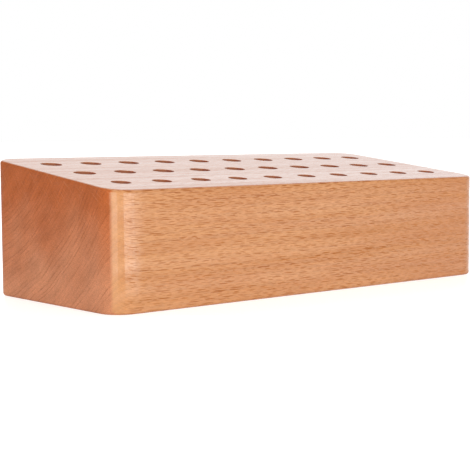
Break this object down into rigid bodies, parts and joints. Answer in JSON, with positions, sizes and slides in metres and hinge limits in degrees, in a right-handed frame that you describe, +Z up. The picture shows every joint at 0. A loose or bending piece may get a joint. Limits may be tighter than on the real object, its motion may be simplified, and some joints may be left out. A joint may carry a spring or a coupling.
{
  "type": "wooden tool holder",
  "caption": "Solid beech block with a top that slopes down to the front and rows of blind round holes that hold small tools upright.",
  "frame": {"origin": "centre of the base, on the surface that the block stands on", "axes": "+X along the block's length, to the right seen from its low front; the low front faces -Y; +Z up"},
  "size_m": [0.214, 0.0914, 0.0586],
  "materials": {
    "beech": "satin"
  },
  "bodies": {
    "root": {"holder_block": "beech"}
  },
  "joints": []
}
